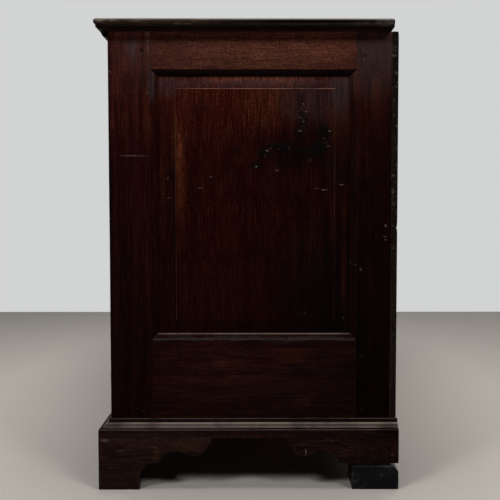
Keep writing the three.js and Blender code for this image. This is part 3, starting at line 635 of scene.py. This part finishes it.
def blackened_oak(name):
    """The plain block under the back foot: near black with pale scuffs, a painted cold sheen, and
    painted light on faces turned up.
    """
    finish = Finish(name)
    drawn = finish.vector_maths("MULTIPLY", finish.place, (1.0, 0.08, 1.0))
    fibres = finish.cloud(drawn, 260.0, 3.0, 0.6)
    sheen_patches = finish.cloud(finish.place, 60.0, 4.0, 0.6, 0.4)
    upward = finish.mark("upward")
    colour = finish.mix(finish.between(fibres, 0.4, 0.7), tone(9, 9, 10), tone(17, 16, 17))
    # Painted cold sheen in grey patches, and painted light on faces turned up
    colour = finish.mix(finish.between(sheen_patches, 0.50, 0.66) * 0.55, colour, tone(44, 43, 44))
    colour = finish.mix(finish.between(upward, 0.3, 0.8) * 0.7, colour, tone(40, 40, 41))
    scuffs = finish.mark("worn") * finish.between(sheen_patches, 0.46, 0.62)
    colour = finish.mix(scuffs * 0.5, colour, tone(92, 90, 88))
    roughness = finish.between(sheen_patches, 0.35, 0.7, 0.38, 0.6)
    normal = finish.bump(fibres + sheen_patches, 0.4, 0.4 * MM)
    return finish.surface(colour, roughness, normal, specular=0.06)


def aged_brass(name):
    """Hand-rubbed brass with brown stains, brighter at its edges."""
    finish = Finish(name)
    stains = finish.cloud(finish.place, 90.0, 4.0, 0.6, 0.3)
    fine = finish.cloud(finish.place, 700.0, 2.0, 0.5)
    colour = finish.mix(finish.between(stains, 0.38, 0.68), tone(186, 146, 80), tone(104, 74, 38))
    colour = finish.mix(finish.mark("worn") * 0.7, colour, tone(222, 188, 118))
    roughness = finish.between(stains, 0.35, 0.7, 0.26, 0.5) + fine * 0.08
    normal = finish.bump(stains + fine * 0.4, 0.2, 0.2 * MM)
    return finish.surface(colour, roughness, normal, metallic=1.0)


def wrought_iron(name):
    """Black hand-forged iron with a little rust, paler at its edges."""
    finish = Finish(name)
    hammered = finish.cells(finish.place, 130.0)
    stains = finish.cloud(finish.place, 70.0, 4.0, 0.6)
    colour = finish.mix(finish.between(stains, 0.5, 0.72), tone(48, 45, 43), tone(84, 50, 32))
    colour = finish.mix(finish.mark("worn") * 0.6, colour, tone(112, 108, 104))
    roughness = finish.between(stains, 0.4, 0.7, 0.45, 0.75)
    metallic = finish.between(stains, 0.5, 0.72, 0.85, 0.2)
    normal = finish.bump(hammered, 0.5, 0.8 * MM)
    return finish.surface(colour, roughness, normal, metallic=metallic)


GRAIN_NAMES = ("across", "deep", "upright")
FINISHES = {}
for axis, along in enumerate(GRAIN_NAMES):
    FINISHES["dark_oak", axis] = stained_oak("stained oak " + along, axis, STAINED)
    FINISHES["panel_oak", axis] = stained_oak("panel oak " + along, axis, PANEL)
    FINISHES["unfinished_oak", axis] = dry_oak("dry oak " + along, axis)

# The marks of each piece, under the names that stained_oak looks for
END_PANEL_MARKS = {
    "warm": PALE_PATCHES,
    "lit": PANEL_LIT,
    "reflections": PANEL_REFLECTIONS,
    "burr": BURR,
    "glints": GLINTS,
    "scars": NICKS,
    "grime": PANEL_DARK,
}
TOP_RAIL_MARKS = {"warm": RAIL_WARMTH, "lit": RAIL_LIT, "painted_sheen": 0.06}
LOW_RAIL_MARKS = {"warm": RAIL_SPOTS, "lit": LOW_RAIL_LIT, "reflections": LOW_RAIL_REFLECTIONS}
FRONT_POST_MARKS = {
    "lit": POST_LIT,
    "reflections": FRONT_POST_REFLECTIONS,
    "scars": FRONT_POST_SCARS,
    "grime": FRONT_POST_SHADE,
}
BACK_POST_MARKS = {
    "lit": POST_LIT,
    "reflections": BACK_POST_REFLECTIONS,
    "scars": BACK_POST_SCARS,
    "grime": BACK_POST_GRIME_AND_SHADE,
}
LID_MARKS = {
    "lit": LID_LIT,
    "reflections": LID_REFLECTIONS,
    "scars": LID_SCARS,
    "grime": LID_EDGE_DARKENED,
    "sway": 5,
    "painted_sheen": 0.05,
}
PLINTH_MARKS = {"lit": PLINTH_LIT, "grime": PLINTH_DARKENED}
FOOT_MARKS = {"warm": FOOT_SPOTS, "lit": PLINTH_LIT, "scars": FOOT_SCARS}
foot_oak = stained_oak("foot oak with scuffs", 1, PLINTH, FOOT_MARKS)
plinth_oak_along = stained_oak("plinth oak deep", 1, PLINTH, PLINTH_MARKS)
plinth_oak_across = stained_oak("plinth oak across", 0, PLINTH, {"lit": PLINTH_LIT})
MARKED_FINISHES = {
    "lid": stained_oak("lid oak", 0, LID, LID_MARKS),
    "end_panel_right": stained_oak("panel oak with a burr", 2, PANEL, END_PANEL_MARKS),
    "end_top_rail_right": stained_oak("warm rail oak", 1, RAIL, TOP_RAIL_MARKS),
    "end_bottom_rail_right": stained_oak("rail oak with rubbed spots", 1, STAINED, LOW_RAIL_MARKS),
    "post_front_right": stained_oak("front post oak with scars", 2, STAINED, FRONT_POST_MARKS),
    "post_back_right": stained_oak("back post oak with scars", 2, STAINED, BACK_POST_MARKS),
    "foot_bracket_side_right": foot_oak,
    "foot_bracket_back_right": foot_oak,
    "foot_bracket_side_left": plinth_oak_along,
    "foot_bracket_back_left": plinth_oak_along,
    "foot_bracket_front_right": plinth_oak_across,
    "foot_bracket_front_left": plinth_oak_across,
    "base_moulding_right": plinth_oak_along,
    "base_moulding_left": plinth_oak_along,
    "base_moulding_front": plinth_oak_across,
}
SLOT_FINISHES = {
    "blackened_block": blackened_oak("blackened oak"),
    "brass": aged_brass("aged brass"),
    "wrought_iron": wrought_iron("wrought iron"),
}


def finish_of(node_name, slot_name, axis):
    if node_name in MARKED_FINISHES:
        return MARKED_FINISHES[node_name]
    if slot_name in SLOT_FINISHES:
        return SLOT_FINISHES[slot_name]
    return FINISHES[slot_name, axis]


# Pieces

SLOTS = {part["node"]: part["material_slot"] for part in frame["record"]["subparts"]}
BODIES = {
    node: body for body, nodes in frame["record"]["behaviour"]["bodies"].items() for node in nodes
}

# Corners closer than MERGE become one, and faces that lie flatter than FLAT become one face.
MERGE = 0.002 * MM
FLAT = math.radians(0.6)


def copied(node_name):
    """A node's shape with its triangles merged into whole faces."""
    shape = bmesh.new()
    shape.from_mesh(frame["nodes"][node_name].data)
    bmesh.ops.remove_doubles(shape, verts=shape.verts, dist=MERGE)
    bmesh.ops.dissolve_limit(
        shape,
        angle_limit=FLAT,
        use_dissolve_boundaries=False,
        verts=shape.verts,
        edges=shape.edges,
    )
    return shape


SHARP = math.radians(26)
EDGE_STEPS = 2


def soften(shape, radius):
    """Rounds the sharp edges a little and marks the rounded faces as worn."""
    worn = shape.faces.layers.float.new("worn")
    sharp = [e for e in shape.edges if e.is_manifold and e.calc_face_angle() > SHARP]
    rounded = bmesh.ops.bevel(
        shape,
        geom=sharp,
        offset=radius,
        offset_type="OFFSET",
        affect="EDGES",
        segments=EDGE_STEPS,
        profile=0.5,
        material=-1,
        clamp_overlap=True,
    )
    for face in rounded["faces"]:
        face[worn] = 1.0


CUT_SLACK = 0.001 * MM


def cut_strips(shape, low, high, step):
    """Cuts the faces crosswise about every step along each axis, so that a board can be uneven."""
    for axis in range(3):
        length = high[axis] - low[axis]
        count = int(length / step)
        normal = [0.0, 0.0, 0.0]
        normal[axis] = 1.0
        for i in range(1, count + 1):
            place = [0.0, 0.0, 0.0]
            place[axis] = low[axis] + length * i / (count + 1)
            everything = shape.verts[:] + shape.edges[:] + shape.faces[:]
            bmesh.ops.bisect_plane(
                shape, geom=everything, dist=CUT_SLACK, plane_co=place, plane_no=normal
            )


# How far above its lowest point a board's underside still reaches
UNDERSIDE = 0.1 * MM


def settle(shape, low, drop):
    """Lowers a board's underside towards the board below it, and gives its box's new low corner."""
    for vertex in shape.verts:
        if vertex.co.z < low[2] + UNDERSIDE:
            vertex.co.z -= drop
    return (low[0], low[1], low[2] - drop)


# Waves of the surface: how many to a metre, and how far they move it in oak and in metal
SLOW_WAVES = 5.0
FAST_WAVES = 38.0
FAST_START = Vector((7.0, 3.0, 5.0))
UNEVEN_OAK = (0.3 * MM, 0.12 * MM)
UNEVEN_METAL = (0.05 * MM, 0.05 * MM)


def unevenness(place, slow, fast):
    """How hand work and age move a point of the surface."""
    wave = noise.noise_vector(place * SLOW_WAVES) * slow
    ripple = noise.noise_vector(place * FAST_WAVES + FAST_START) * fast
    return wave + ripple


def age(shape, low, high, slow, fast):
    """Moves the surface a little, and keeps it inside the piece's own box."""
    for vertex in shape.verts:
        moved = vertex.co + unevenness(vertex.co, slow, fast)
        vertex.co = Vector([min(max(moved[i], low[i]), high[i]) for i in range(3)])


# Chips along the edges: how many to a metre, and their shares of the depth
WIDE_CHIPS, WIDE_SHARE = 42.0, 0.6
SMALL_CHIPS, SMALL_SHARE = 150.0, 0.5


def wear(shape, depth):
    """Knocks back the rounded edges where hands, feet and years have chipped them."""
    worn = shape.faces.layers.float["worn"]
    shape.normal_update()
    for vertex in shape.verts:
        if any(face[worn] > 0.5 for face in vertex.link_faces):
            bite = noise.noise(vertex.co * WIDE_CHIPS) * WIDE_SHARE
            bite += noise.noise(vertex.co * SMALL_CHIPS) * SMALL_SHARE
            vertex.co -= vertex.normal * depth * max(0.0, bite)


# From which rise a face gathers dust and painted highlight, where 1 faces straight up
DUST_AND_SHEEN_FROM = {"lid": 0.35, "_rail_": 0.5, "cornice": 0.5, "muntin": 0.5}
NO_DUST_AND_SHEEN = 1.0

# What lies between two heights, in millimetres, and how much of it
# Grime bands: grime and painted shade under ledges; worn and dust bands: wear, dust, painted sheen
BANDS = {
    "base_moulding": [
        ("worn", 111.6, 113.4, 0.45),
        ("grime", 113.4, 114.9, 1.0),
        ("dust", 114.9, 117.4, 0.15),
        ("dust", 117.4, 120.8, 0.28),
        ("dust", 120.8, 123.5, 0.8),
        ("grime", 123.5, 129.4, 0.85),
        ("worn", 129.4, 131.0, 0.25),
    ],
    "lid": [("grime", 850.0, 856.8, 0.8)],
    "end_top_rail": [("grime", 770.0, 781.6, 1.0)],
    "front_top_rail": [("grime", 770.0, 781.6, 1.0)],
    "cornice": [("grime", 838.0, 846.0, 0.6)],
    "back_board_lower": [("grime", 486.0, 490.2, 1.0)],
    "back_board_upper": [("grime", 489.8, 494.0, 1.0)],
}


# Measures of how far a face is turned along an axis, from 0 to 1
END_GRAIN = 0.85
UPRIGHT = 0.04
FLAT_ON = 0.97
DUST_AND_SHEEN_FADE = 0.18
# An upright face gets half the wear and painted highlight at its edges, and an underside shows its
# band less.
UPRIGHT_WEAR_AND_HIGHLIGHT = 0.5
UNDERSIDE_BAND = 0.45


def mark_faces(shape, axis, board, dust_and_sheen_from, bands):
    """Keeps on each face which board it belongs to, whether it is end grain, how far it faces up,
    how much dust and painted highlight lie on it, and how much grime and painted shade fill it."""
    names = ("end_grain", "board", "upward", "dust", "grime")
    layers = {name: shape.faces.layers.float.new(name) for name in names}
    worn = shape.faces.layers.float["worn"]
    shape.normal_update()
    for face in shape.faces:
        rise = face.normal.z
        height = face.calc_center_median().z / MM
        face[layers["end_grain"]] = 1.0 if abs(face.normal[axis]) > END_GRAIN else 0.0
        face[layers["board"]] = board
        face[layers["upward"]] = rise
        if abs(rise) < UPRIGHT:
            face[worn] *= UPRIGHT_WEAR_AND_HIGHLIGHT
        banded = False
        for layer, low, high, strength in bands:
            if low < height < high:
                strength *= UNDERSIDE_BAND if rise < -FLAT_ON else 1.0
                face[worn if layer == "worn" else layers[layer]] = strength
                banded = True
        if dust_and_sheen_from < rise < FLAT_ON and not banded:
            face[layers["dust"]] = min(1.0, (rise - dust_and_sheen_from) / DUST_AND_SHEEN_FADE)


FACE_WEIGHT = 60


def set_piece(shape, name, material, body, nodes=()):
    """Makes the shape a piece of the chest that moves with its body."""
    mesh = bpy.data.meshes.new(name)
    shape.normal_update()
    shape.to_mesh(mesh)
    shape.free()
    mesh.shade_smooth()
    mesh.materials.append(material)
    piece = bpy.data.objects.new(name, mesh)
    bpy.context.scene.collection.objects.link(piece)
    weighted = piece.modifiers.new("even faces", "WEIGHTED_NORMAL")
    weighted.mode = "FACE_AREA"
    weighted.weight = FACE_WEIGHT
    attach(piece, body)
    if nodes:
        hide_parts(*nodes)


# The axis that the grain follows: 1 is deep, 2 upright, and all other pieces have it across, 0.
GRAIN = {
    "post": 2,
    "muntin": 2,
    "end_panel": 2,
    "front_panel": 2,
    "drawer_divider": 2,
    "end_top_rail": 1,
    "end_bottom_rail": 1,
    "base_moulding_right": 1,
    "base_moulding_left": 1,
    "foot_bracket_side": 1,
    "foot_bracket_back": 1,
    "foot_repair_block": 1,
    "drawer_runner": 1,
    "side_inner": 1,
    "side_outer": 1,
}


METAL_SLOTS = ("brass", "wrought_iron")
EDGE_RADIUS = {"brass": 0.5 * MM, "wrought_iron": 0.6 * MM, "panel_oak": 1.2 * MM}
OAK_EDGE_RADIUS = 0.9 * MM

# How deep the edges of oak are chipped, in millimetres
WORN_EDGES = {"lid": 1.6, "back_board": 2.2, "foot_": 1.2, "base_moulding": 0.7, "post_": 0.5}
LITTLE_WORN = 0.25

# How far a board's underside is lowered, so that no light shows below it
SETTLED = {"back_board_upper": 0.55 * MM}

# How far apart the cuts are: closer in metal, and in oak whose edges are chipped deep
STRIP = {"brass": 4 * MM, "wrought_iron": 8 * MM}
DEEP_CHIPS = 0.4 * MM
CHIPPED_STRIP = 10 * MM
PLAIN_STRIP = 26 * MM


def first_match(table, node_name, otherwise):
    for words, value in table.items():
        if words in node_name:
            return value
    return otherwise


for node_name in sorted(frame["nodes"]):
    slot_name = SLOTS[node_name]
    metal = slot_name in METAL_SLOTS
    axis = first_match(GRAIN, node_name, 0)
    low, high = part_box(node_name)
    chipped = 0.0 if metal else first_match(WORN_EDGES, node_name, LITTLE_WORN) * MM
    strip = CHIPPED_STRIP if chipped > DEEP_CHIPS else PLAIN_STRIP
    shape = copied(node_name)
    if node_name in SETTLED:
        low = settle(shape, low, SETTLED[node_name])
    soften(shape, EDGE_RADIUS.get(slot_name, OAK_EDGE_RADIUS))
    cut_strips(shape, low, high, STRIP.get(slot_name, strip))
    dust_and_sheen_from = first_match(DUST_AND_SHEEN_FROM, node_name, NO_DUST_AND_SHEEN)
    mark_faces(shape, axis, DRAWS.random(), dust_and_sheen_from, first_match(BANDS, node_name, []))
    wear(shape, chipped)
    age(shape, low, high, *(UNEVEN_METAL if metal else UNEVEN_OAK))
    material = finish_of(node_name, slot_name, axis)
    set_piece(shape, "aged_" + node_name, material, BODIES[node_name], [node_name])


# The tenon pegs, in millimetres: Y and Z of each head, its shape, and how deep its middle lies
PEG_PLACES = [(-197, 818), (-196, 252), (-199, 141), (213, 245), (216, 808), (214, 146)]
PEG_RADIUS = 4.2
PEG_TAPER = 0.84
PEG_LENGTH = 2.2
PEG_SUNK = 0.1
PEG_EDGE = 0.7
# The board number of their grain, and how worn they look
PEG_BOARD = 0.3
PEG_WEAR = 0.2


def peg_heads(name, face_x):
    """The heads of the oak pegs that hold the tenons: knife-cut, not quite round, and proud."""
    heads = bmesh.new()
    turn = Matrix.Rotation(math.copysign(math.pi / 2, face_x), 3, "Y")
    for y, z in PEG_PLACES:
        sides = DRAWS.choice((7, 8, 9))
        made = bmesh.ops.create_cone(
            heads,
            cap_ends=True,
            segments=sides,
            radius1=PEG_RADIUS * DRAWS.uniform(0.9, 1.1) * MM,
            radius2=PEG_RADIUS * PEG_TAPER * MM,
            depth=PEG_LENGTH * MM,
        )
        bmesh.ops.rotate(heads, verts=made["verts"], cent=(0, 0, 0), matrix=turn)
        sunk = math.copysign(PEG_SUNK * MM, face_x)
        middle = Vector((face_x * MM - sunk, y * MM, z * MM))
        bmesh.ops.translate(heads, verts=made["verts"], vec=middle)
    soften(heads, PEG_EDGE * MM)
    mark_faces(heads, 0, PEG_BOARD, NO_DUST_AND_SHEEN, [])
    worn = heads.faces.layers.float["worn"]
    for face in heads.faces:
        face[worn] *= PEG_WEAR
    set_piece(heads, name, FINISHES["dark_oak", 0], "root")


peg_heads("tenon_pegs_right_end", CASE_END)
peg_heads("tenon_pegs_left_end", -CASE_END)


# Room, light and camera

WHITE = (1.0, 1.0, 1.0, 1.0)
WALL = tone(210, 211, 211)
FLOOR = tone(160, 155, 148)
FLOOR_HALF = 1.93
# What little light the room itself throws on the chest; the lamps give the rest.
ROOM_LIGHT = 0.03

floor_shape = bmesh.new()
bmesh.ops.create_grid(floor_shape, x_segments=1, y_segments=1, size=FLOOR_HALF)
floor_mesh = bpy.data.meshes.new("floor")
floor_shape.to_mesh(floor_mesh)
floor_shape.free()
floor = bpy.data.objects.new("floor", floor_mesh)
bpy.context.scene.collection.objects.link(floor)
floor_mesh.materials.append(Finish("pale floor").surface(FLOOR, 0.8, specular=0.0))

# The wall shows to the camera, and in and through whatever shines or lets light pass.
world = bpy.data.worlds.new("pale room")
bpy.context.scene.world = world
world.use_nodes = True
room = Wiring(world.node_tree)
ambient = room.node("ShaderNodeBackground", None, {"Color": WHITE, "Strength": ROOM_LIGHT})
backdrop = room.node("ShaderNodeBackground", None, {"Color": WALL, "Strength": 1.0})
rays = room.node("ShaderNodeLightPath").outputs
seen = room.maths("ADD", rays["Is Camera Ray"], rays["Is Glossy Ray"])
seen = room.maths("ADD", seen, rays["Is Transmission Ray"], clamp=True)
lights = {0: seen, 1: ambient.outputs[0], 2: backdrop.outputs[0]}
choice = room.node("ShaderNodeMixShader", None, lights)
room.node("ShaderNodeOutputWorld", None, {"Surface": choice.outputs[0]})


def hang(thing, direction):
    """Puts a lamp or the camera in the room, looking along a direction."""
    thing.rotation_mode = "QUATERNION"
    thing.rotation_quaternion = direction.to_track_quat("-Z", "Y")
    bpy.context.scene.collection.objects.link(thing)


def lamp(name, place, target, size, power):
    """A square lamp at a place, turned to its target."""
    data = bpy.data.lights.new(name, "AREA")
    data.shape = "SQUARE"
    data.size = size
    data.energy = power
    made = bpy.data.objects.new(name, data)
    made.location = place
    hang(made, Vector(target) - Vector(place))


lamp("ceiling panel", (0.3, 0.0, 3.0), (0.3, 0.0, 0.0), 1.6, 106.0)
lamp("left softbox", (2.3, -1.5, 2.35), (0.6, 0.0, 0.5), 0.7, 42.0)
lamp("right softbox", (2.3, 1.5, 2.35), (0.6, 0.0, 0.5), 0.7, 35.0)
lamp("far corner", (-2.4, 2.2, 2.6), (0.0, 0.0, 0.4), 1.5, 16.0)

# The camera as it was fitted to the right end: nearly level, and turned a little off the X axis
CAMERA_PLACE = (2.1146, 0.0242, 0.5258)
CAMERA_LENS = 57.6
CAMERA_SENSOR = 36.0
CAMERA_SHIFT = -0.0304
TILT = math.radians(2.99)
TURN = math.radians(0.26)

camera_data = bpy.data.cameras.new("camera")
camera_data.lens = CAMERA_LENS
camera_data.sensor_width = CAMERA_SENSOR
camera_data.shift_x = CAMERA_SHIFT
camera = bpy.data.objects.new("camera", camera_data)
camera.location = CAMERA_PLACE
gaze = Vector((-math.cos(TILT) * math.cos(TURN), math.cos(TILT) * math.sin(TURN), -math.sin(TILT)))
hang(camera, gaze)
bpy.context.scene.camera = camera
bpy.context.scene.view_settings.view_transform = "Standard"
